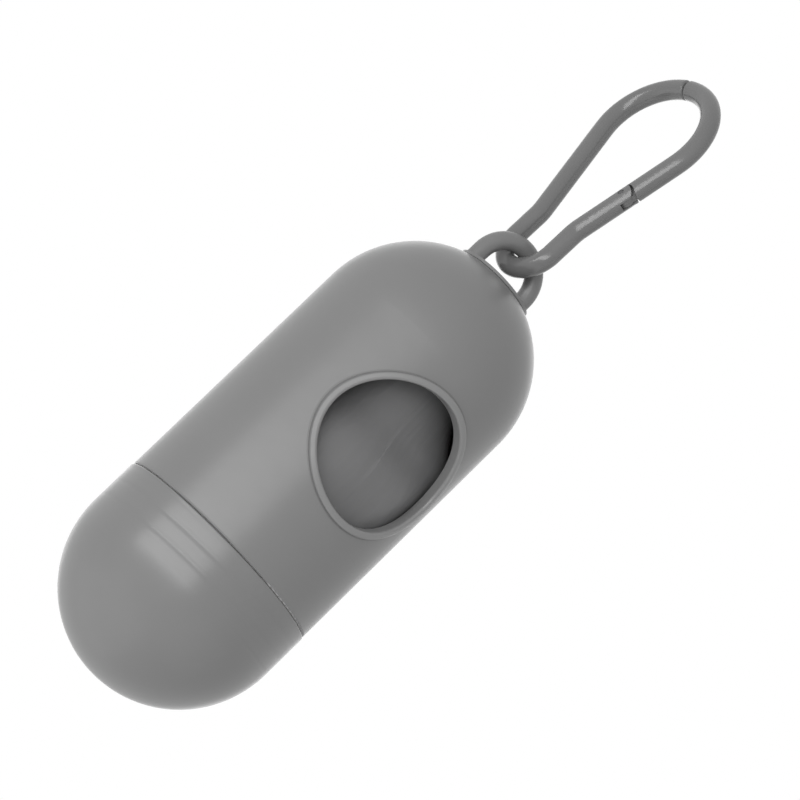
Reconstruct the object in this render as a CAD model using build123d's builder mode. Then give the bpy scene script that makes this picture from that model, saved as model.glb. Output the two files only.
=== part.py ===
from build123d import *
from math import asin, atan2, cos, degrees, radians, sin, sqrt, tan
import os

# Dog waste bag dispenser: a screw-capped capsule that holds one roll of bags, hung by a swivel
# eyelet from a pear-shaped clip with a hinged arm. Millimetres, +Z up. The origin is where the
# capsule's own axis meets the inner face of the clip's wide bend, which is where it hangs.

# --- capsule shell -----------------------------------------------------------------------------
shell_diameter = 38.0
shell_wall = 1.8
barrel_length = 44.0          # straight part, from the seam to the start of the dome
dome_flat_radius = 7.4        # small flat on top of the dome, where the eyelet turns
crown_wall = 3.0              # thickened wall under that flat
seam_rounding = 0.3           # on the two edges that meet at the seam

# --- dispensing window -------------------------------------------------------------------------
window_diameter = 24.0
window_height = 27.2          # centre above the seam
lip_width = 1.25
lip_height = 0.5              # raised above the barrel
lip_rounding = 0.4

# --- screw neck and cap ------------------------------------------------------------------------
neck_wall = 1.3
neck_length = 8.0
cap_proud = 0.12              # the cap stands out past the barrel by this much
cap_wall = 1.4
cap_thread_wall = 1.32        # the cap's wall behind its thread
cap_skirt = 8.2               # straight part of the cap, from the seam to the start of its dome
cap_thread_depth = 9.0        # how far down the cap its bore stays straight
seam_gap = 0.15
thread_pitch = 3.0
thread_height = 0.8
thread_foot = 1.5             # ridge width at its root
thread_tip = 0.7              # ridge width at its crest
thread_root_depth = 0.2       # how far a ridge is sunk into the wall that carries it
thread_clearance = 0.25
neck_thread_rise = 5.0
cap_thread_rise = 6.4

# --- roll of bags ------------------------------------------------------------------------------
roll_clearance = 0.85         # round the roll, in the neck's bore that it is put in through
roll_length = 60.0
roll_seat = 0.3               # film to cap
roll_rounding = 0.5
film_gap = 0.25               # film to core
core_diameter = 13.0
core_wall = 1.0

# --- swivel eyelet and its fastening -----------------------------------------------------------
eyelet_rod = 3.1
eyelet_leg = 1.89             # straight foot of the arch, before the half circle
eyelet_turn = -6.0            # degrees about Z at which the arch stands
eyelet_inset = 0.15           # arch's feet inside the flange's edge
flange_thickness = 0.5
flange_inset = 0.1            # flange edge inside the edge of the dome's flat
stem_diameter = 5.0
pivot_clearance = 0.05        # radial, round the stem and round the hinge pin
swivel_play = 0.1             # above and below the wall that the stem passes through
washer_diameter = 9.2
washer_thickness = 0.8
washer_hole = 2.5
screw_diameter = 2.2
screw_engagement = 3.0
screw_fit = 0.02
screw_head_diameter = 4.2
screw_head_height = 1.5
recess_width = 0.6
recess_length = 2.4
recess_depth = 0.7

# --- clip --------------------------------------------------------------------------------------
clip_rod = 3.4
wide_radius = 10.43           # centreline of the wide bend
narrow_radius = 5.05          # centreline of the narrow eye
waist_height = 5.57           # above the narrow eye's centre, where the legs turn outward
waist_rounding = 6.0          # centreline radius of that turn
bend_spacing = 26.87          # from the narrow bend's centre to the wide bend's
clip_turn = -78.9             # degrees about Z at which the clip's plane stands
clip_lean = 1.83              # degrees that the clip leans in its own plane
hang_gap = 0.1                # eyelet to clip rod
nose_angle = 102.0            # where the body's free end stops, round the wide bend
nose_slope = 11.0             # degrees by which that end is cut back on its outer side
nose_rounding = 0.35
arm_angle = 98.5              # where the arm's flat end stops
hinge_setback = 9.8           # hinge below the wide bend, along the leg
hinge_pin_diameter = 1.0
pin_recess = 0.06             # pin's ends below the rod's surface
pin_fit = 0.01                # radial, pin in the two cheeks
knuckle_gap = 0.12
swing_relief = 0.45           # extra room outside the knuckle, for the arm to swing out
tongue_thickness = 1.2
tongue_inset = 0.2            # tongue's round eye inside the knuckle's
slot_clearance = 0.08
peg_diameter = 1.2
peg_reach = 1.3               # how far the snap peg goes into the arm
peg_root = 2.2                # how far it is carried in the nose
peg_inset = 0.45              # peg inside the rod's centreline
peg_clearance = 0.12

os.makedirs("parts", exist_ok=True)

# --- heights along the capsule's axis ----------------------------------------------------------
clip_rod_radius = clip_rod / 2
eyelet_rod_radius = eyelet_rod / 2
lean_offset = bend_spacing * sin(radians(clip_lean))
wide_inner_rise = sqrt((wide_radius - clip_rod_radius) ** 2 - lean_offset**2)
eye_height = -bend_spacing * cos(radians(clip_lean)) - wide_inner_rise
crown_height = eye_height - narrow_radius + clip_rod_radius + hang_gap + eyelet_rod_radius

shell_radius = shell_diameter / 2
flange_radius = dome_flat_radius - flange_inset
arch_radius = flange_radius - eyelet_inset - eyelet_rod_radius
flange_top = crown_height - arch_radius - eyelet_leg
flange_bottom = flange_top - flange_thickness
flat_height = flange_bottom - swivel_play
dome_height = flat_height - sqrt(shell_radius**2 - dome_flat_radius**2)
seam_height = dome_height - barrel_length
neck_bottom = seam_height - neck_length
cap_dome_height = seam_height - cap_skirt
cap_rim = seam_height - seam_gap

# --- radii that follow from the walls and clearances -------------------------------------------
bore_radius = shell_radius - shell_wall
cap_radius = shell_radius + cap_proud
cap_dome_bore = cap_radius - cap_wall
cap_bore_radius = cap_radius - cap_thread_wall
neck_radius = cap_bore_radius - thread_clearance - thread_height
neck_bore_radius = neck_radius - neck_wall
roll_radius = neck_bore_radius - roll_clearance
core_radius = core_diameter / 2
stem_radius = stem_diameter / 2


def level(height):
    """Plane across the capsule's axis."""
    return Plane.XY.offset(height)


def thread_ridge(root_radius, side, start_height, rise):
    """Helical ridge on a wall, standing outward (side = 1) or inward (side = -1)."""
    with BuildPart() as ridge:
        with BuildLine() as helix:
            Helix(pitch=thread_pitch, height=rise, radius=root_radius, center=(0, 0, start_height))
        with BuildSketch(Plane(origin=helix.line @ 0, x_dir=(1, 0, 0), z_dir=helix.line % 0)):
            with BuildLine():
                Polyline(
                    (-side * thread_root_depth, -thread_foot / 2),
                    (0, -thread_foot / 2),
                    (side * thread_height, -thread_tip / 2),
                    (side * thread_height, thread_tip / 2),
                    (0, thread_foot / 2),
                    (-side * thread_root_depth, thread_foot / 2),
                    close=True,
                )
            make_face()
        sweep(path=helix.line, is_frenet=True)
    return ridge.part


# --- body shell --------------------------------------------------------------------------------
window_level = seam_height + window_height
window_plane = Plane(origin=(0, 0, window_level), x_dir=(1, 0, 0), z_dir=(0, -1, 0))
window_radius = window_diameter / 2
lip_face_radius = shell_radius + lip_height
past_the_wall = lip_face_radius + lip_width

# the lip round the window, still a solid pad, with its outer edge rounded
with BuildPart() as lip_pad:
    with BuildSketch(level(window_level - shell_diameter)):
        Circle(lip_face_radius)
    extrude(amount=2 * shell_diameter)
    with BuildSketch(window_plane):
        Circle(window_radius + lip_width)
    extrude(amount=past_the_wall, mode=Mode.INTERSECT)
    fillet(lip_pad.edges().sort_by(Axis.Y)[0], lip_rounding)

with BuildPart() as body_shell:
    # barrel and dome
    with BuildSketch(Plane.XZ):
        with BuildLine():
            Polyline((0, flat_height), (0, seam_height), (shell_radius, seam_height), (shell_radius, dome_height))
            RadiusArc((shell_radius, dome_height), (dome_flat_radius, flat_height), -shell_radius)
            Line((dome_flat_radius, flat_height), (0, flat_height))
        make_face()
    revolve(axis=Axis.Z)
    fillet(body_shell.edges().sort_by(Axis.Z)[0], seam_rounding)
    add(lip_pad.part)
    # screw neck
    with BuildSketch(level(neck_bottom)):
        Circle(neck_radius)
    extrude(amount=neck_length + seam_rounding)
    # room for the roll, with a flat ceiling under the eyelet
    ceiling = flat_height - crown_wall
    ceiling_radius = sqrt(bore_radius**2 - (ceiling - dome_height) ** 2)
    with BuildSketch(Plane.XZ):
        with BuildLine():
            Polyline(
                (0, ceiling),
                (0, neck_bottom),
                (neck_bore_radius, neck_bottom),
                (neck_bore_radius, seam_height),
                (bore_radius, seam_height + shell_wall),
                (bore_radius, dome_height),
            )
            RadiusArc((bore_radius, dome_height), (ceiling_radius, ceiling), -bore_radius)
            Line((ceiling_radius, ceiling), (0, ceiling))
        make_face()
    revolve(axis=Axis.Z, mode=Mode.SUBTRACT)
    # hole for the eyelet's stem
    with BuildSketch(level(ceiling)):
        Circle(stem_radius + pivot_clearance)
    extrude(amount=crown_wall, mode=Mode.SUBTRACT)
    # window through the front wall, its edge rounded where the bags are pulled over it
    with BuildSketch(window_plane):
        Circle(window_radius)
    extrude(amount=past_the_wall, mode=Mode.SUBTRACT)
    window_edges = body_shell.edges().filter_by_position(Axis.Z, window_level - 1, window_level + 1)
    fillet(window_edges.sort_by(Axis.Y)[0:2].sort_by(SortBy.LENGTH)[0], lip_rounding)
    add(thread_ridge(neck_radius, 1, seam_height - thread_foot - neck_thread_rise, neck_thread_rise))
body_shell.part.label = "body_shell"

# --- screw cap ---------------------------------------------------------------------------------
# its ridge starts half a turn's pitch below the neck's, so the two run between each other
cap_thread_start = seam_height - thread_foot - neck_thread_rise - thread_pitch / 2

with BuildPart() as end_cap:
    with BuildSketch(Plane.XZ):
        with BuildLine():
            Polyline((0, cap_dome_height - cap_radius), (0, cap_rim), (cap_radius, cap_rim))
            Line((cap_radius, cap_rim), (cap_radius, cap_dome_height))
            RadiusArc((cap_radius, cap_dome_height), (0, cap_dome_height - cap_radius), cap_radius)
        make_face()
    revolve(axis=Axis.Z)
    fillet(end_cap.edges().sort_by(Axis.Z)[-1], seam_rounding)
    # domed hollow that the roll stands in
    with BuildSketch(Plane.XZ):
        with BuildLine():
            Polyline((0, cap_dome_height - cap_dome_bore), (0, cap_rim), (cap_dome_bore, cap_rim))
            Line((cap_dome_bore, cap_rim), (cap_dome_bore, cap_dome_height))
            RadiusArc((cap_dome_bore, cap_dome_height), (0, cap_dome_height - cap_dome_bore), cap_dome_bore)
        make_face()
    revolve(axis=Axis.Z, mode=Mode.SUBTRACT)
    # straight bore that clears the neck's thread
    with BuildSketch(level(cap_rim - cap_thread_depth)):
        Circle(cap_bore_radius)
    extrude(amount=cap_thread_depth, mode=Mode.SUBTRACT)
    add(thread_ridge(cap_bore_radius, -1, cap_thread_start, cap_thread_rise))
end_cap.part.label = "end_cap"

# --- roll of bags on its cardboard core --------------------------------------------------------
# the film's lower edge stands in the cap's dome
roll_bottom = cap_dome_height - sqrt(cap_dome_bore**2 - roll_radius**2) + roll_seat

with BuildPart() as bag_roll:
    with BuildSketch(level(roll_bottom)):
        Circle(roll_radius)
        Circle(core_radius + film_gap, mode=Mode.SUBTRACT)
    extrude(amount=roll_length)
    fillet(bag_roll.edges().group_by(SortBy.LENGTH)[-1], roll_rounding)
bag_roll.part.label = "bag_roll"

with BuildPart() as roll_core:
    with BuildSketch(level(roll_bottom)):
        Circle(core_radius)
        Circle(core_radius - core_wall, mode=Mode.SUBTRACT)
    extrude(amount=roll_length)
roll_core.part.label = "roll_core"

# --- swivel eyelet, held from inside by a screw and washer -------------------------------------
stem_bottom = ceiling - swivel_play
eyelet_angle = radians(eyelet_turn)
arch_plane = Plane(
    origin=(0, 0, flange_top),
    x_dir=(cos(eyelet_angle), sin(eyelet_angle), 0),
    z_dir=(sin(eyelet_angle), -cos(eyelet_angle), 0),
)

with BuildPart() as swivel_eyelet:
    with BuildSketch(level(flange_bottom)):
        Circle(flange_radius)
    extrude(amount=flange_thickness)
    with BuildSketch(level(stem_bottom)):
        Circle(stem_radius)
    extrude(amount=flange_bottom - stem_bottom)
    with BuildLine(arch_plane) as arch:
        Line((-arch_radius, -flange_thickness / 2), (-arch_radius, eyelet_leg))
        CenterArc((0, eyelet_leg), arch_radius, 180, -180)
        Line((arch_radius, eyelet_leg), (arch_radius, -flange_thickness / 2))
    with BuildSketch(Plane(origin=arch.line @ 0, z_dir=arch.line % 0)):
        Circle(eyelet_rod_radius)
    sweep(path=arch.line)
    # blind hole for the screw
    with BuildSketch(level(stem_bottom)):
        Circle(screw_diameter / 2 + screw_fit)
    extrude(amount=screw_engagement + swivel_play, mode=Mode.SUBTRACT)
swivel_eyelet.part.label = "swivel_eyelet"

with BuildPart() as swivel_washer:
    with BuildSketch(level(stem_bottom - washer_thickness)):
        Circle(washer_diameter / 2)
        Circle(washer_hole / 2, mode=Mode.SUBTRACT)
    extrude(amount=washer_thickness)
swivel_washer.part.label = "swivel_washer"

screw_seat = stem_bottom - washer_thickness

with BuildPart() as swivel_screw:
    with BuildSketch(level(screw_seat)):
        Circle(screw_diameter / 2)
    extrude(amount=washer_thickness + screw_engagement)
    with BuildSketch(level(screw_seat - screw_head_height)):
        Circle(screw_head_diameter / 2)
    extrude(amount=screw_head_height)
    fillet(swivel_screw.edges().sort_by(Axis.Z)[0], screw_head_height / 3)
    with BuildSketch(level(screw_seat - screw_head_height)):
        Rectangle(recess_length, recess_width)
        Rectangle(recess_width, recess_length)
    extrude(amount=recess_depth, mode=Mode.SUBTRACT)
swivel_screw.part.label = "swivel_screw"

# --- clip --------------------------------------------------------------------------------------
# The clip's own plane: x to the arm's side, y along the clip to its wide end, z out of its face.
# Two bends joined by legs. They leave the narrow eye side by side, and above its waist they
# spread to the wide bend; taper is the angle that each then has to the clip's long axis.
turn_angle = radians(clip_turn)
clip_plane = Plane(
    origin=(0, 0, eye_height),
    x_dir=(cos(turn_angle), sin(turn_angle), 0),
    z_dir=(sin(turn_angle), -cos(turn_angle), 0),
).moved(Location((0, 0, 0), (0, 0, -clip_lean)))
waist_to_bend = sqrt((bend_spacing - waist_height) ** 2 + narrow_radius**2)
taper = degrees(asin(wide_radius / waist_to_bend) - asin(narrow_radius / waist_to_bend))
leg_x = sin(radians(taper))
leg_y = cos(radians(taper))
wide_centre = (0, bend_spacing)
waist_run = waist_rounding * tan(radians(taper / 2))
waist_start = (narrow_radius, waist_height - waist_run)
waist_end = (narrow_radius + waist_run * leg_x, waist_height + waist_run * leg_y)
waist_centre = (narrow_radius + waist_rounding, waist_start[1])
arm_leg_top = (wide_radius * leg_y, bend_spacing - wide_radius * leg_x)
hinge_centre = (arm_leg_top[0] - hinge_setback * leg_x, arm_leg_top[1] - hinge_setback * leg_y)
knuckle_radius = clip_rod_radius
knuckle_top = (hinge_centre[0] + knuckle_radius * leg_x, hinge_centre[1] + knuckle_radius * leg_y)


def on_clip(x, y):
    """World point of a point in the clip's plane."""
    return clip_plane.from_local_coords((x, y, 0))


def wide_bend_point(angle, radius=wide_radius):
    """Point of the clip's plane on the wide bend, by its angle round the bend's centre."""
    return (radius * cos(radians(angle)), bend_spacing + radius * sin(radians(angle)))


# hinge frame: x outward, y up the leg towards the wide end
hinge_plane = Plane(
    origin=on_clip(*hinge_centre),
    x_dir=clip_plane.x_dir * leg_y - clip_plane.y_dir * leg_x,
    z_dir=clip_plane.z_dir,
)

# free-end frame: x along the rod towards the arm, y outward
nose_point = wide_bend_point(nose_angle)
nose_plane = Plane(
    origin=on_clip(*nose_point),
    x_dir=clip_plane.x_dir * sin(radians(nose_angle)) - clip_plane.y_dir * cos(radians(nose_angle)),
    z_dir=clip_plane.z_dir,
)

# the snap peg lies along the path that the arm's end takes as it swings about the hinge
peg_x, peg_y = wide_bend_point(arm_angle, wide_radius - peg_inset)
swing_angle = degrees(atan2(peg_y - hinge_centre[1], peg_x - hinge_centre[0])) - 90
peg_plane = Plane(
    origin=on_clip(peg_x, peg_y),
    z_dir=clip_plane.x_dir * cos(radians(swing_angle)) + clip_plane.y_dir * sin(radians(swing_angle)),
)

with BuildPart() as clip_body:
    nose_allowance = degrees(clip_rod / wide_radius)
    with BuildLine(clip_plane) as body_line:
        CenterArc(wide_centre, wide_radius, nose_angle - nose_allowance, 180 + taper - nose_angle + nose_allowance)
        Line(wide_bend_point(180 + taper), (-waist_end[0], waist_end[1]))
        CenterArc((-waist_centre[0], waist_centre[1]), waist_rounding, taper, -taper)
        Line((-waist_start[0], waist_start[1]), (-narrow_radius, 0))
        CenterArc((0, 0), narrow_radius, 180, 180)
        Line((narrow_radius, 0), waist_start)
        CenterArc(waist_centre, waist_rounding, 180, -taper)
        Line(waist_end, knuckle_top)
    with BuildSketch(Plane(origin=body_line.line @ 0, z_dir=body_line.line % 0)):
        Circle(clip_rod_radius)
    sweep(path=body_line.line)
    # free end, cut back on its outer side
    with BuildSketch(nose_plane.moved(Location((0, 0, 0), (0, 0, nose_slope)))):
        Rectangle(2 * clip_rod, 3 * clip_rod, align=(Align.MIN, Align.CENTER))
    extrude(amount=clip_rod, both=True, mode=Mode.SUBTRACT)
    fillet(clip_body.edges().sort_by_distance(nose_plane.origin)[0], nose_rounding)
    # snap peg
    with BuildSketch(peg_plane.offset(-peg_root)):
        Circle(peg_diameter / 2)
    extrude(amount=peg_root + peg_reach)
    round_edges = clip_body.edges().filter_by(GeomType.CIRCLE)
    fillet(round_edges.sort_by_distance(peg_plane.offset(peg_reach).origin)[0], peg_diameter / 4)
    # knuckle rounded about the hinge pin
    with BuildSketch(hinge_plane):
        Rectangle(2 * clip_rod, clip_rod, align=(Align.CENTER, Align.MIN))
        Circle(knuckle_radius, mode=Mode.SUBTRACT)
    extrude(amount=clip_rod, both=True, mode=Mode.SUBTRACT)
    # slot for the arm's tongue, open to the outer side
    tongue_radius = knuckle_radius - tongue_inset
    tongue_half_width = 0.8 * tongue_radius
    with BuildSketch(hinge_plane):
        Circle(tongue_radius + slot_clearance)
        Rectangle(2 * clip_rod, clip_rod, align=(Align.CENTER, Align.MIN))
        with Locations((0, -tongue_half_width - slot_clearance)):
            Rectangle(clip_rod, tongue_half_width + 2 * slot_clearance, align=(Align.MIN, Align.MIN))
    extrude(amount=tongue_thickness / 2 + slot_clearance, both=True, mode=Mode.SUBTRACT)
    with BuildSketch(hinge_plane):
        Circle(hinge_pin_diameter / 2 + pin_fit)
    extrude(amount=clip_rod, both=True, mode=Mode.SUBTRACT)
clip_body.part.label = "clip_body"

with BuildPart() as clip_arm:
    with BuildLine(clip_plane) as arm_line:
        Line(hinge_centre, arm_leg_top)
        CenterArc(wide_centre, wide_radius, -taper, arm_angle + taper)
    with BuildSketch(Plane(origin=arm_line.line @ 0, z_dir=arm_line.line % 0)):
        Circle(clip_rod_radius)
    sweep(path=arm_line.line)
    # shoulder hollowed round the knuckle, with more room on the outer side
    with BuildSketch(hinge_plane):
        Circle(knuckle_radius + knuckle_gap)
        with Locations((swing_relief, 0)):
            Circle(knuckle_radius + knuckle_gap + swing_relief / 2)
        Rectangle(2 * clip_rod, clip_rod_radius, align=(Align.CENTER, Align.CENTER))
    extrude(amount=clip_rod, both=True, mode=Mode.SUBTRACT)
    # tongue and its eye
    with BuildSketch(hinge_plane):
        Circle(tongue_radius)
        Rectangle(2 * tongue_half_width, knuckle_radius + clip_rod_radius, align=(Align.CENTER, Align.MIN))
    extrude(amount=tongue_thickness / 2, both=True)
    with BuildSketch(hinge_plane):
        Circle(hinge_pin_diameter / 2 + pivot_clearance)
    extrude(amount=clip_rod, both=True, mode=Mode.SUBTRACT)
    # socket for the snap peg
    with BuildSketch(peg_plane.offset(-peg_diameter)):
        Circle(peg_diameter / 2 + peg_clearance)
    extrude(amount=peg_diameter + peg_reach + peg_clearance, mode=Mode.SUBTRACT)
clip_arm.part.label = "clip_arm"

with BuildPart() as hinge_pin:
    with BuildSketch(hinge_plane):
        Circle(hinge_pin_diameter / 2)
    extrude(amount=clip_rod_radius - pin_recess, both=True)
    fillet(hinge_pin.edges().filter_by(GeomType.CIRCLE), hinge_pin_diameter / 8)
hinge_pin.part.label = "hinge_pin"

# --- write each piece --------------------------------------------------------------------------
pieces = [
    body_shell,
    end_cap,
    bag_roll,
    roll_core,
    swivel_eyelet,
    swivel_washer,
    swivel_screw,
    clip_body,
    clip_arm,
    hinge_pin,
]
for piece in pieces:
    export_step(piece.part, f"parts/{piece.part.label}.step")

print("eye", eye_height, "crown", crown_height, "flat", flat_height, "seam", seam_height)
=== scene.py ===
import bmesh
import bpy
from math import atan2, cos, degrees, exp, hypot, pi, radians, sin, sqrt
from mathutils import Matrix, Vector, noise


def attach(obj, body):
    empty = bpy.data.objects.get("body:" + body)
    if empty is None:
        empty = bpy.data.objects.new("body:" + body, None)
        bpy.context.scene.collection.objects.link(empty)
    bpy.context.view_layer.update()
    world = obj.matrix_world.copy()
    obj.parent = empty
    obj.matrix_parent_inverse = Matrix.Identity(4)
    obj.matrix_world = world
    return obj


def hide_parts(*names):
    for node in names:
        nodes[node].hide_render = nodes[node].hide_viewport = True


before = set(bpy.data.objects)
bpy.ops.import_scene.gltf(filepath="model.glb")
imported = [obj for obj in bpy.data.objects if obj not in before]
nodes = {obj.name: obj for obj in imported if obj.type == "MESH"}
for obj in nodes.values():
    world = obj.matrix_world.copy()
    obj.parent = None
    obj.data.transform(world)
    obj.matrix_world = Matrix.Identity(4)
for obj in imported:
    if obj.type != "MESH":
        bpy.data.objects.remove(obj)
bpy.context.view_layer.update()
print("frame loaded:", len(nodes), "nodes")

# what several pieces share, in metres
capsule = {
    "seam": -0.106834,        # height at which barrel and cap meet
    "threadPitch": 0.003,
}
clipNormal = (-0.981293, -0.192522, 0.0)   # square to the plane that the clip lies in


class Sock:  # a node socket that takes part in arithmetic
    def __init__(self, tree, socket=None):
        self.tree = tree
        self.socket = socket

    def node(self, kind, settings=None, inputs=None, output=0):
        made = self.tree.nodes.new(kind)
        for name, value in (settings or {}).items():
            setattr(made, name, value)
        for name, value in (inputs or {}).items():
            if isinstance(value, Sock):
                self.tree.links.new(value.socket, made.inputs[name])
            else:
                made.inputs[name].default_value = value
        return Sock(self.tree, made.outputs[output])

    def maths(self, operation, *others):
        return self.node("ShaderNodeMath", {"operation": operation},
                         dict(enumerate((self, *others))))

    def __add__(self, other):
        return self.maths("ADD", other)

    def __sub__(self, other):
        return self.maths("SUBTRACT", other)

    def __rsub__(self, other):
        return self.node("ShaderNodeMath", {"operation": "SUBTRACT"}, {0: other, 1: self})

    def __mul__(self, other):
        return self.maths("MULTIPLY", other)

    def __truediv__(self, other):
        return self.maths("DIVIDE", other)

    def __pow__(self, other):
        return self.maths("POWER", other)

    def __abs__(self):
        return self.maths("ABSOLUTE")

    def atLeast(self, value):
        return self.maths("MAXIMUM", value)

    def wave(self):  # a sine that runs from 0 to 1
        return self.maths("SINE") * 0.5 + 0.5

    def reach(self, other):  # distance from an axis, from two coordinates
        return (self ** 2.0 + other ** 2.0) ** 0.5

    def turnFrom(self, x):  # share of a turn, from two coordinates
        return self.maths("ARCTAN2", x) / (2 * pi)

    def step(self, low, high):  # 0 below low, 1 above high
        return self.node("ShaderNodeMapRange", {"interpolation_type": "SMOOTHSTEP"},
                         {"Value": self, "From Min": low, "From Max": high})

    def band(self, low, high, fade):  # 1 between two values, fading outside both
        return self.step(low - fade, low) * (1 - self.step(high, high + fade))

    def noise(self, scale, detail=2.0, rough=0.5):
        return self.node("ShaderNodeTexNoise", None,
                         {"Vector": self, "Scale": scale, "Detail": detail, "Roughness": rough})

    def stretched(self, x, y, z):
        return self.node("ShaderNodeMapping", None, {"Vector": self, "Scale": (x, y, z)})

    def axis(self, name):
        return self.node("ShaderNodeSeparateXYZ", None, {"Vector": self}, "XYZ".index(name))

    def along(self, direction):
        return self.node("ShaderNodeVectorMath", {"operation": "DOT_PRODUCT"},
                         {0: self, 1: direction}, "Value")

    def tint(self, low, high):  # a colour between two, by this value
        return self.node("ShaderNodeMix", {"data_type": "RGBA"},
                         {0: self, 6: (*low, 1.0), 7: (*high, 1.0)}, 2)


def emptyMaterial(name):
    material = bpy.data.materials.new(name)
    material.use_nodes = True
    material.node_tree.nodes.clear()
    return material, material.node_tree


def startMaterial(name):
    material, tree = emptyMaterial(name)
    return material, tree, Sock(tree).node("ShaderNodeTexCoord", None, None, "Object")


def finishMaterial(tree, constants, colour, roughness, bumps):
    # bumps are (height, depth in metres) and are laid one over the other
    surface = tree.nodes.new("ShaderNodeBsdfPrincipled")
    for name, value in constants.items():
        surface.inputs[name].default_value = value
    tree.links.new(colour.socket, surface.inputs["Base Color"])
    tree.links.new(roughness.socket, surface.inputs["Roughness"])
    normal = None
    for height, depth in bumps:
        settings = {"Height": height, "Distance": depth, "Strength": 1.0}
        if normal:
            settings["Normal"] = normal
        normal = Sock(tree).node("ShaderNodeBump", None, settings)
    tree.links.new(normal.socket, surface.inputs["Normal"])
    output = tree.nodes.new("ShaderNodeOutputMaterial")
    tree.links.new(surface.outputs[0], output.inputs["Surface"])


def shaded(colour, share):
    return tuple(c * share for c in colour)


def wear(node, material):
    for slot in nodes[node].material_slots:
        slot.material = material
    if not nodes[node].material_slots:
        nodes[node].data.materials.append(material)


# moulded plastic of the capsule: satin, with a fine spark-eroded grain
shellFinish = {
    "colour": (0.235, 0.235, 0.235),
    "spread": 0.05,           # how far the colour drifts, as a share
    "driftScale": 55.0,
    "roughness": 0.31,
    "roughnessSpread": 0.04,
    "grainRoughness": 0.04,   # what grain and scuffs add to the roughness
    "scuffRoughness": 0.05,
    "specular": 0.5,
    "waveScale": 190.0,       # slight unevenness of the wall
    "waveDepth": 0.00005,
    "grainScale": 5200.0,
    "grainDepth": 0.0000032,
    "scuffScale": (260.0, 260.0, 2600.0),   # finer along the capsule, so scuffs run round it
    "scuffLevels": (0.60, 0.74),
    "scuffDepth": 0.000003,
}
capFinish = dict(shellFinish, roughness=0.27)   # handled more, so more polished
# painted light in the groove between barrel and cap: a paler colour that lifts the groove's shaded
# dark line to the grey it was matched to;
# it lies on the whole shoulder there, so that shows as a pale ring while the cap is down
seamPaintedLight = {
    "halfHeight": 0.0005,
    "fade": 0.0002,
    "radius": (0.0186, 0.01895),   # full inside the first, none outside the second
    "shade": 2.9,
}
sinkMarks = {                 # faint helical hollows that the cap's inner thread leaves outside, with painted shade along them
    "from": -0.0080,          # heights above the seam
    "to": -0.0012,
    "fade": 0.0012,
    "depth": 0.000045,
    "sharpness": 4.0,
    # how much darker the hollows are painted: painted shade
    "shade": 0.008,
}
windowLip = {
    "height": -0.079634,      # of the window's middle
    "front": (-0.010, -0.008),     # the lip lies where Y is below the first
    "wornAndLit": (0.0121, 0.0130), # distances from the middle between which it is painted paler: partly wear, partly painted highlight where the lip catches light
    "wornAndLitFade": 0.0002,
    "wornAndLitShade": 0.17,
    "foot": (0.01328, 0.01333),    # where it meets the barrel, painted darker: painted shade in the crease
    "footFade": 0.00022,
    "footPaintedShade": 0.22,
}


def mouldedPlastic(name, finish, sinks=None, lip=None):
    material, tree, place = startMaterial(name)
    drift = place.noise(finish["driftScale"], detail=3.0)
    wave = place.noise(finish["waveScale"], detail=1.0)
    grain = place.noise(finish["grainScale"])
    scuffs = place.stretched(*finish["scuffScale"]).noise(1.0, detail=4.0, rough=0.65)
    scuffs = scuffs.step(*finish["scuffLevels"])
    x, y, z = (place.axis(letter) for letter in "XYZ")
    aboveSeam = z - capsule["seam"]
    tone = (drift - 0.5) * (2 * finish["spread"]) + 1
    bumps = [
        (wave, finish["waveDepth"]),
        (grain, finish["grainDepth"]),
        (scuffs, finish["scuffDepth"]),
    ]
    if sinks:
        phase = aboveSeam / capsule["threadPitch"] - y.turnFrom(x)
        ridge = (phase * (2 * pi)).wave() ** sinks["sharpness"]
        ridge = ridge * aboveSeam.band(sinks["from"], sinks["to"], sinks["fade"])
        bumps.insert(0, (1 - ridge, sinks["depth"]))
        # painted shade along the hollows
        tone = tone - ridge * sinks["shade"]
    if lip:
        away = x.reach(z - lip["height"])
        front = 1 - y.step(*lip["front"])
        # the lip is painted paler: part wear, part painted highlight
        tone = tone + front * away.band(*lip["wornAndLit"], lip["wornAndLitFade"]) * lip["wornAndLitShade"]
        # painted shade in the crease at the lip's foot
        tone = tone - front * away.band(*lip["foot"], lip["footFade"]) * lip["footPaintedShade"]
    # painted light: the groove at the seam is painted paler against the shade that falls in it
    paintedSeamLight = aboveSeam.band(-seamPaintedLight["halfHeight"], seamPaintedLight["halfHeight"], seamPaintedLight["fade"])
    paintedSeamLight = paintedSeamLight * (1 - x.reach(y).step(*seamPaintedLight["radius"]))
    tone = tone + paintedSeamLight * seamPaintedLight["shade"]
    palest = 1 + seamPaintedLight["shade"]
    colour = (tone / palest).tint((0.0, 0.0, 0.0), shaded(finish["colour"], palest))
    roughness = drift * finish["roughnessSpread"] + grain * finish["grainRoughness"]
    roughness = roughness + scuffs * finish["scuffRoughness"]
    roughness = roughness + (finish["roughness"] - finish["roughnessSpread"] / 2)
    finishMaterial(tree, {"IOR": 1.5, "Specular IOR Level": finish["specular"]},
                   colour, roughness, bumps)
    return material


wear("body_shell", mouldedPlastic("shellPlastic", shellFinish, lip=windowLip))
wear("end_cap", mouldedPlastic("capPlastic", capFinish, sinks=sinkMarks))
print("capsule finished")

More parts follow.
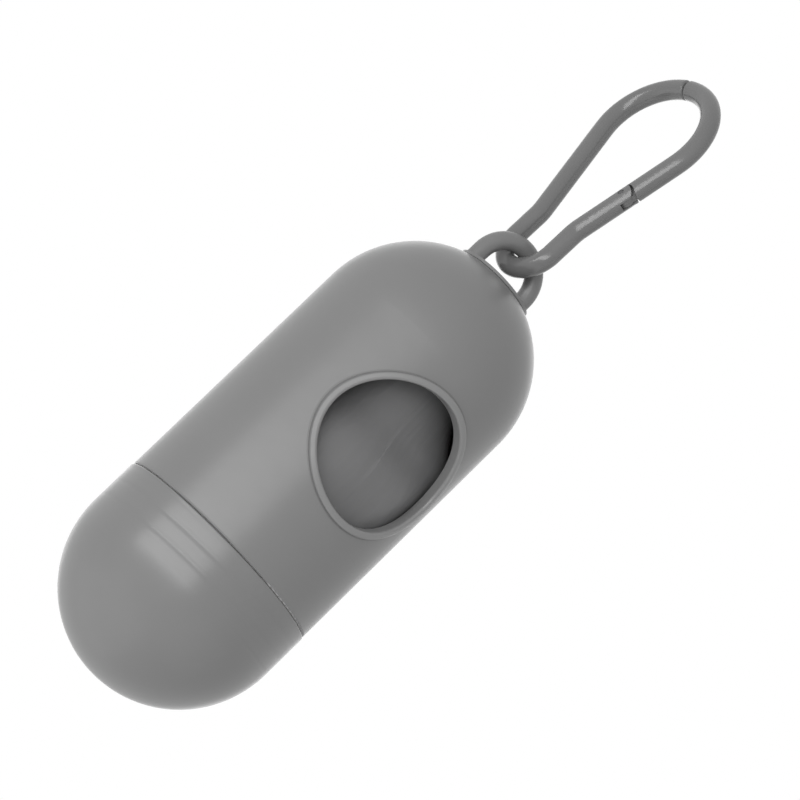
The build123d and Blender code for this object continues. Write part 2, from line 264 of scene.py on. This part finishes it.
# glossier plastic of the clip and eyelet, with the fine line where two mould halves met
clipFinish = {
    "colour": (0.188, 0.188, 0.188),
    "spread": 0.07,
    "driftScale": 130.0,
    "roughness": 0.20,
    "driftRoughness": 0.10,
    "waveRoughness": 0.06,
    "partingRoughness": 0.12,
    "specular": 0.5,
    "waveScale": 420.0,
    "waveDepth": 0.00006,
    "grainScale": 3000.0,
    "grainDepth": 0.0000006,
    "partingWidth": 0.00011,
    "partingCrest": 0.3,      # share of the width at which the line is full
    "partingDepth": 0.00003,
}
eyeletFinish = dict(clipFinish, colour=(0.225, 0.225, 0.225), roughness=0.32)
eyeletTurn = radians(-6.0)    # about Z, at which the eyelet's arch stands
eyeletNormal = (sin(eyeletTurn), -cos(eyeletTurn), 0.0)


def partedPlastic(name, finish, normal):
    # the mould halves met in the plane through the origin that the normal is square to
    material, tree, place = startMaterial(name)
    drift = place.noise(finish["driftScale"], detail=3.0)
    wave = place.noise(finish["waveScale"])
    grain = place.noise(finish["grainScale"])
    width = finish["partingWidth"]
    parting = 1 - abs(place.along(normal)).step(width * finish["partingCrest"], width)
    colour = drift.tint(shaded(finish["colour"], 1 - finish["spread"]),
                        shaded(finish["colour"], 1 + finish["spread"]))
    evenRoughness = finish["roughness"] - (finish["driftRoughness"] + finish["waveRoughness"]) / 2
    roughness = drift * finish["driftRoughness"] + wave * finish["waveRoughness"]
    roughness = roughness + parting * finish["partingRoughness"] + evenRoughness
    finishMaterial(tree, {"IOR": 1.5, "Specular IOR Level": finish["specular"]}, colour, roughness,
                   [(wave, finish["waveDepth"]), (parting, finish["partingDepth"]),
                    (grain, finish["grainDepth"])])
    return material


clipPlastic = partedPlastic("clipPlastic", clipFinish, clipNormal)
wear("clip_body", clipPlastic)
wear("clip_arm", clipPlastic)
wear("swivel_eyelet", partedPlastic("eyeletPlastic", eyeletFinish, eyeletNormal))
print("clip and eyelet finished")

# steel of the screw, its washer and the hinge pin
steelFinish = {
    "colour": (0.62, 0.62, 0.61),
    "shades": (0.86, 1.06),   # of that colour, darkest and palest
    "roughness": 0.3,
    "smudgeScale": 800.0,
    "smudgeRoughness": 0.16,
    "ringRoughness": 0.05,
    "turningScale": 9000.0,
    "turningDepth": 0.000004,
}
pinFinish = dict(steelFinish, colour=(0.15, 0.15, 0.152), roughness=0.5)   # blackened
steelPieces = {
    # material, finish, a point on the piece's own axis, that axis
    "swivel_washer": ("washerSteel", steelFinish, (0.0, 0.0, -0.0488), (0.0, 0.0, 1.0)),
    "swivel_screw": ("screwSteel", steelFinish, (0.0, 0.0, -0.0507), (0.0, 0.0, 1.0)),
    "hinge_pin": ("pinSteel", pinFinish, (0.00153606, -0.00782937, -0.0211023), clipNormal),
}


def turnedSteel(name, finish, centre, direction):
    # fine rings left by turning, about the piece's own axis
    material, tree, place = startMaterial(name)
    local = place.node("ShaderNodeVectorMath", {"operation": "SUBTRACT"}, {0: place, 1: centre})
    onAxis = local.along(direction)
    radius = abs(local.along(local) - onAxis * onAxis) ** 0.5
    rings = ((radius + onAxis) * finish["turningScale"]).wave()
    smudge = place.noise(finish["smudgeScale"], detail=3.0)
    colour = smudge.tint(*(shaded(finish["colour"], share) for share in finish["shades"]))
    roughness = smudge * finish["smudgeRoughness"] + rings * finish["ringRoughness"]
    roughness = roughness + (finish["roughness"] - finish["smudgeRoughness"] / 2)
    finishMaterial(tree, {"Metallic": 1.0}, colour, roughness, [(rings, finish["turningDepth"])])
    return material


for piece, settings in steelPieces.items():
    wear(piece, turnedSteel(*settings))
print("steel finished")

# cardboard core, wound from a strip on the slant
coreFinish = {
    "colour": (0.30, 0.225, 0.145),
    "shades": (0.72, 1.2),
    "specular": 0.2,
    "roughness": 0.82,
    "fibreRoughness": 0.1,
    "stripPitch": 0.021,
    "seamEdge": 0.03,         # half width of the strip's seam, as a share of the pitch
    "seamFade": 0.02,
    "seamDepth": 0.00012,
    "seamShade": 0.3,
    "fibreScale": (900.0, 900.0, 350.0),
    "fibreDepth": 0.00002,
    "fibreShade": 0.8,
    "fleckScale": 2600.0,
    "fleckLevels": (0.62, 0.70),
    "fleckShade": 0.35,
    "leastShade": 0.1,
}


def woundCard(name, finish):
    material, tree, place = startMaterial(name)
    turn = place.axis("Y").turnFrom(place.axis("X"))
    phase = (place.axis("Z") / finish["stripPitch"] - turn).maths("FRACT")
    seam = 1 - phase.band(finish["seamEdge"], 1 - finish["seamEdge"], finish["seamFade"])
    fibres = place.stretched(*finish["fibreScale"]).noise(1.0, detail=6.0, rough=0.7)
    flecks = place.noise(finish["fleckScale"]).step(*finish["fleckLevels"])
    shade = fibres * finish["fibreShade"] - flecks * finish["fleckShade"]
    shade = shade - seam * finish["seamShade"] + finish["leastShade"]
    colour = shade.tint(*(shaded(finish["colour"], share) for share in finish["shades"]))
    roughness = fibres * finish["fibreRoughness"] + finish["roughness"]
    finishMaterial(tree, {"Specular IOR Level": finish["specular"]}, colour, roughness,
                   [(1 - seam, finish["seamDepth"]), (fibres, finish["fibreDepth"])])
    return material


wear("roll_core", woundCard("coreCard", coreFinish))
print("core finished")

# roll of film bags: many thin turns, the last one ending in a loose perforated edge;
# entries ending in Along are heights above the roll's lower end
roll = {
    "radius": 0.0146,
    "bore": 0.00675,
    "boreRoom": 0.0001,       # the ends stop this far outside the bore
    "bottom": -0.124778,
    "top": -0.064778,
    "around": 300,            # divisions round the roll
    "along": 110,             # divisions along it
    "slack": 0.0004,          # turns lie this far inside the roll's space
    "swell": 0.0008,          # slack turns round the middle
    "swellAlong": (0.018, 0.030, 0.042, 0.050),    # starts, full, still full, over
    "thinner": 0.0023,        # near its upper end, where turns have been drawn off
    "thinnerAlong": (0.0385, 0.0530),              # starts, full
    "endTurn": -86.0,         # degrees about Z at which the outer turn's edge lies
    "endLift": 0.00022,       # how far the loose edge stands off the turn below
    "leastLift": 0.12,        # share of it away from where the bags are pulled
    "pullHeight": 0.0445,     # above the roll's lower end
    "pullSpread": 0.0042,
    "looseRadius": 0.01702,   # the let-go outer turn springs out flat as far as this
    "looseAlong": (0.0285, 0.0335, 0.050, 0.060),  # starts, full, still full, over
    "looseTurns": (80.0, 165.0),   # degrees past the edge over which it closes on the roll again
    "flatTurn": 60.0,         # no flatter than the tangent here
    "toothPitch": 0.0011,
    "toothDepth": 0.00028,
    "edgeWander": 0.02,       # in radians
    "wanderScale": 45.0,
    "tuck": 0.06,             # divisions that the turn below reaches under the edge
    "crease": 0.00006,        # height of the long creases
    "rounding": 0.0007,
    "endRings": 26,
    "turnRise": 0.00016,      # each turn of film ends a little higher or lower than the next
    "turnBeat": 2.4,
    "turnWander": 0.0002,
    "wanderBeat": 0.7,
    "wanderShift": 90.0,      # keeps the two ends from looking alike
    "leastRise": 0.00002,
    "sharpTurn": 50.0,        # edges sharper than this are shaded as edges
}
filmCreases = {
    # how often round and along the roll, a shift along it, sharpness, share of the height
    "slow": (3.2, 55.0, 0.0, None, 0.35),
    "sharp": (9.0, 60.0, 3.0, 2.2, 0.45),
    "fine": (22.0, 95.0, 9.0, 2.0, 0.2),
}
filmFinish = {
    "colour": (0.185, 0.185, 0.187),
    "shades": (0.94, 1.12),
    "specular": 0.5,
    "roughness": 0.42,
    "driftScale": 120.0,
    "driftShade": 0.6,
    "driftRoughness": 0.14,
    "creaseScale": 300.0,
    "creaseStretch": 0.12,    # along the roll, below 1 so that creases run along it
    "creaseNarrow": 5.0,
    "creaseSharpness": 3.0,
    "creaseDepth": 0.000014,
    "creaseShade": 0.25,
    "creaseRoughness": 0.10,
    "evenRoughness": -0.08,   # takes back about what drift and creases add
    "foldScale": 105.0,
    "foldStretch": 0.3,
    "foldNarrow": 7.0,
    "foldSharpness": 4.0,
    "foldDepth": 0.0000182,
    "foldShade": 0.15,
    "turnScale": 52000.0,     # edges of the turns, seen on the ends
    "turnWobble": 6.0,
    "turnDepth": 0.00006,
    "endMargin": 0.0006,
    "endFade": 0.0002,
}


def creaseHeight(angle, height):
    # long soft creases that run mostly along the roll, some meeting at a slant
    total = 0.0
    for roundScale, alongScale, shift, sharpness, share in filmCreases.values():
        level = noise.noise(Vector((cos(angle) * roundScale, sin(angle) * roundScale,
                                    height * alongScale + shift)))
        if sharpness:
            level = max(0.0, 1.0 - abs(level) * sharpness) ** 3
        total += share * level
    return total


def smooth(value, low, high):
    share = min(1.0, max(0.0, (value - low) / (high - low)))
    return share * share * (3 - 2 * share)


def hump(value, starts, full, stillFull, over):
    return smooth(value, starts, full) * (1 - smooth(value, stillFull, over))


def outerTurn(radius, height, past):
    # past is how far round from the loose edge, a small step that is highest where bags are pulled
    pulled = (height - roll["pullHeight"]) / roll["pullSpread"]
    least = roll["leastLift"]
    lift = roll["endLift"] * (least + (1 - least) * exp(-pulled * pulled))
    radius += lift * (1 - past / (2 * pi))
    # past the edge the film springs out flat until the shell's wall turns it
    out = radius / cos(min(past, radians(roll["flatTurn"]))) - radius
    out /= (1 + (out / (roll["looseRadius"] - radius)) ** 4) ** 0.25
    out *= 1 - smooth(degrees(past), *roll["looseTurns"])
    return radius + out * hump(height, *roll["looseAlong"])


def shapeSide(work):
    length = roll["top"] - roll["bottom"]
    start = radians(roll["endTurn"])
    pitch = 2 * pi / roll["around"]
    for v in work.verts:
        angle = atan2(v.co.y, v.co.x)
        height = v.co.z - roll["bottom"]
        past = (angle - start) % (2 * pi)
        if past > 2 * pi - pitch / 2:
            past = 0.0
        under = past > 2 * pi - 1.5 * pitch        # the last column lies under the edge
        radius = roll["radius"] - roll["slack"] + roll["swell"] * hump(height, *roll["swellAlong"])
        radius -= roll["thinner"] * smooth(height, *roll["thinnerAlong"])
        if not under:
            radius = outerTurn(radius, height, past)
        radius += creaseHeight(angle, height) * roll["crease"]
        # the ends are rounded over
        fromEnd = max(0.0, min(height, length - height))
        if fromEnd < roll["rounding"]:
            radius -= roll["rounding"] * (1 - sqrt(1 - (1 - fromEnd / roll["rounding"]) ** 2))
        turned = angle
        if under:
            turned = start - pitch * roll["tuck"]
        elif past < 1e-6:
            tooth = abs((height / roll["toothPitch"]) % 1.0 - 0.5) * 2
            turned = start + tooth * roll["toothDepth"] / roll["radius"]
            wander = noise.noise(Vector((7.0, 1.0, height * roll["wanderScale"])))
            turned += roll["edgeWander"] * wander
        v.co.x = radius * cos(turned)
        v.co.y = radius * sin(turned)


def closeEnd(work, level, inward, rimRadius):
    # drawn in ring by ring as far as the bore; gives back the innermost ring's edges
    rim = [e for e in work.edges if e.is_boundary and abs(e.verts[0].co.z - level) < 1e-5
           and abs(e.verts[1].co.z - level) < 1e-5]
    boreRadius = roll["bore"] + roll["boreRoom"]
    for k in range(1, roll["endRings"] + 1):
        made = bmesh.ops.extrude_edge_only(work, edges=rim)["geom"]
        moved = [v for v in made if isinstance(v, bmesh.types.BMVert)]
        for v in moved:
            angle = atan2(v.co.y, v.co.x)
            now = hypot(v.co.x, v.co.y)
            target = rimRadius + (boreRadius - rimRadius) * k / roll["endRings"]
            wander = noise.noise(Vector((cos(angle), sin(angle),
                                         k * roll["wanderBeat"] + level * roll["wanderShift"])))
            depth = roll["turnRise"] * (0.5 + 0.5 * sin(k * roll["turnBeat"]))
            depth += roll["turnWander"] * (0.5 + wander)
            v.co.x *= target / now
            v.co.y *= target / now
            v.co.z = level + inward * max(roll["leastRise"], depth)
        rim = [e for e in made if isinstance(e, bmesh.types.BMEdge)
               and e.verts[0] in moved and e.verts[1] in moved]
    return rim


def makeRoll():
    work = bmesh.new()
    bmesh.ops.create_circle(work, segments=roll["around"], radius=roll["radius"] - roll["slack"],
                            matrix=Matrix.Translation((0.0, 0.0, roll["bottom"])))
    layerHeight = (roll["top"] - roll["bottom"]) / roll["along"]
    ring = work.edges[:]
    for layer in range(roll["along"]):
        made = bmesh.ops.extrude_edge_only(work, edges=ring)["geom"]
        bmesh.ops.translate(work, vec=(0.0, 0.0, layerHeight),
                            verts=[v for v in made if isinstance(v, bmesh.types.BMVert)])
        ring = [e for e in made if isinstance(e, bmesh.types.BMEdge)
                and abs(e.verts[0].co.z - e.verts[1].co.z) < 1e-6]
    # the first column of points comes to where the outer turn ends
    bmesh.ops.rotate(work, cent=(0.0, 0.0, 0.0), verts=work.verts[:],
                     matrix=Matrix.Rotation(radians(roll["endTurn"]), 3, "Z"))
    shapeSide(work)
    rimRadius = roll["radius"] - roll["slack"] - roll["rounding"]
    lower = closeEnd(work, roll["bottom"], 1, rimRadius)
    upper = closeEnd(work, roll["top"], -1, rimRadius - roll["thinner"])
    bmesh.ops.bridge_loops(work, edges=lower + upper)
    bmesh.ops.recalc_face_normals(work, faces=work.faces[:])
    for face in work.faces:
        face.smooth = True
    mesh = bpy.data.meshes.new("filmRoll")
    work.to_mesh(mesh)
    work.free()
    made = bpy.data.objects.new("filmRoll", mesh)
    bpy.context.scene.collection.objects.link(made)
    mesh.set_sharp_from_angle(angle=radians(roll["sharpTurn"]))
    return made


def filmMaterial(name, finish):
    material, tree, place = startMaterial(name)
    drift = place.noise(finish["driftScale"], detail=3.0)
    # noise drawn out along the roll; its middle level gives narrow lines
    long = place.stretched(1.0, 1.0, finish["creaseStretch"])
    long = long.noise(finish["creaseScale"], detail=3.0, rough=0.6)
    creases = (1 - abs(long - 0.5) * finish["creaseNarrow"]).atLeast(0.0)
    creases = creases ** finish["creaseSharpness"]
    slant = place.stretched(1.0, 1.0, finish["foldStretch"]).noise(finish["foldScale"])
    folds = (1 - abs(slant - 0.5) * finish["foldNarrow"]).atLeast(0.0)
    folds = folds ** finish["foldSharpness"]
    radius = place.axis("X").reach(place.axis("Y"))
    turns = (radius * finish["turnScale"] + drift * finish["turnWobble"]).wave()
    side = (roll["bottom"] + finish["endMargin"], roll["top"] - finish["endMargin"])
    ends = 1 - place.axis("Z").band(*side, finish["endFade"])
    shade = drift * finish["driftShade"] + creases * finish["creaseShade"]
    shade = shade + folds * finish["foldShade"]
    colour = shade.tint(*(shaded(finish["colour"], share) for share in finish["shades"]))
    roughness = drift * finish["driftRoughness"] + creases * finish["creaseRoughness"]
    roughness = roughness + (finish["roughness"] + finish["evenRoughness"])
    finishMaterial(tree, {"IOR": 1.5, "Specular IOR Level": finish["specular"]}, colour, roughness,
                   [(creases, finish["creaseDepth"]), (folds, finish["foldDepth"]),
                    (turns * ends, finish["turnDepth"])])
    return material


filmRoll = makeRoll()
filmRoll.data.materials.append(filmMaterial("bagFilm", filmFinish))
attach(filmRoll, "roll")
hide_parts("bag_roll")
print("roll of bags made:", len(filmRoll.data.polygons), "faces")

# floor, lamps and camera
studio = {
    "floorHeight": -0.45,
    "floorReach": 12.0,
    "floorColour": (0.86, 0.86, 0.86),
    "floorRoughness": 0.9,
    "floorPaleness": 0.82,    # how far the eye sees the floor as white
    "worldLevel": 0.43,       # what the world lights with; it is seen as plain white
    "lampTarget": (0.0, 0.0, -0.110),
    # softboxes: watts, degrees about Z, degrees up, distance, width and height in metres
    "softboxes": {
        "stripBox": (1.33, -145.0, 3.0, 0.50, 0.66, 0.13),
        "sideBox": (0.10, -60.0, -35.0, 0.40, 0.40, 0.40),
        "lowBox": (0.17, 165.0, -66.0, 0.30, 0.40, 0.40),
        "backBox": (0.50, 65.0, 15.0, 0.50, 0.50, 0.50),
    },
}
view = {
    "azimuth": -27.29,
    "elevation": -11.05,
    "roll": 45.85,
    "distance": 0.47093,
    "across": 0.028593,       # the camera stands this far right of and above the seam's middle
    "up": 0.023657,
    "lens": 135.0,
    "sensor": 36.0,
    "clip": (0.01, 20.0),
}
white = (1.0, 1.0, 1.0, 1.0)


def lookDirections():
    a, e, r = radians(view["azimuth"]), radians(view["elevation"]), radians(view["roll"])
    back = Vector((sin(a) * cos(e), -cos(a) * cos(e), sin(e)))
    level = Vector((cos(a), sin(a), 0.0))
    upright = back.cross(level)
    right = level * cos(r) + upright * sin(r)
    up = upright * cos(r) - level * sin(r)
    return right, up, back


def makeCamera():
    data = bpy.data.cameras.new("camera")
    data.lens = view["lens"]
    data.sensor_width = view["sensor"]
    data.clip_start, data.clip_end = view["clip"]
    made = bpy.data.objects.new("camera", data)
    bpy.context.scene.collection.objects.link(made)
    right, up, back = lookDirections()
    stand = Vector((0.0, 0.0, capsule["seam"])) + back * view["distance"]
    stand = stand + right * view["across"] + up * view["up"]
    turned = Matrix((right, up, back)).transposed().to_4x4()
    made.matrix_world = Matrix.Translation(stand) @ turned
    bpy.context.scene.camera = made


def seenBy(start):  # 1 for the camera and for what glossy and clear surfaces show
    rays = [start.node("ShaderNodeLightPath", None, None, "Is " + kind + " Ray")
            for kind in ("Camera", "Glossy", "Transmission")]
    return rays[0].atLeast(rays[1]).atLeast(rays[2])


def floorMaterial(name):
    # paler to the eye and in reflections than the lamps make it; clear from below
    material, tree = emptyMaterial(name)
    start = Sock(tree)
    paper = start.node("ShaderNodeBsdfPrincipled", None, {
        "Base Color": (*studio["floorColour"], 1.0),
        "Roughness": studio["floorRoughness"],
    })
    glow = start.node("ShaderNodeEmission", None, {"Color": white, "Strength": 1.0})
    paleness = seenBy(start) * studio["floorPaleness"]
    pale = start.node("ShaderNodeMixShader", None, {"Fac": paleness, 1: paper, 2: glow})
    clear = start.node("ShaderNodeBsdfTransparent")
    behind = start.node("ShaderNodeNewGeometry", None, None, "Backfacing")
    mixed = start.node("ShaderNodeMixShader", None, {"Fac": behind, 1: pale, 2: clear})
    output = tree.nodes.new("ShaderNodeOutputMaterial")
    tree.links.new(mixed.socket, output.inputs["Surface"])
    return material


def makeFloor():
    work = bmesh.new()
    bmesh.ops.create_grid(work, x_segments=1, y_segments=1, size=studio["floorReach"],
                          matrix=Matrix.Translation((0.0, 0.0, studio["floorHeight"])))
    mesh = bpy.data.meshes.new("floor")
    work.to_mesh(mesh)
    work.free()
    made = bpy.data.objects.new("floor", mesh)
    bpy.context.scene.collection.objects.link(made)
    made.data.materials.append(floorMaterial("floorPaper"))
    return made


def makeSoftbox(name, power, turn, rise, distance, wide, high):
    # faces the target, with its width level
    data = bpy.data.lights.new(name, "AREA")
    data.shape = "RECTANGLE"
    data.size = wide
    data.size_y = high
    data.energy = power
    lamp = bpy.data.objects.new(name, data)
    bpy.context.scene.collection.objects.link(lamp)
    tilted = Matrix.Rotation(radians(90.0 - rise), 4, "X")
    turned = Matrix.Rotation(radians(turn + 90.0), 4, "Z") @ tilted
    back = Matrix.Translation((0.0, 0.0, distance))
    lamp.matrix_world = Matrix.Translation(studio["lampTarget"]) @ turned @ back


def makeWorld():
    made = bpy.data.worlds.new("studioWorld")
    made.use_nodes = True
    tree = made.node_tree
    tree.nodes.clear()
    start = Sock(tree)
    dim, bright = (start.node("ShaderNodeBackground", None, {"Color": white, "Strength": level})
                   for level in (studio["worldLevel"], 1.0))
    mixed = start.node("ShaderNodeMixShader", None, {"Fac": seenBy(start), 1: dim, 2: bright})
    output = tree.nodes.new("ShaderNodeOutputWorld")
    tree.links.new(mixed.socket, output.inputs["Surface"])
    bpy.context.scene.world = made


makeCamera()
makeFloor()
for name, values in studio["softboxes"].items():
    makeSoftbox(name, *values)
makeWorld()
bpy.context.scene.view_settings.view_transform = "Standard"
print("studio set")
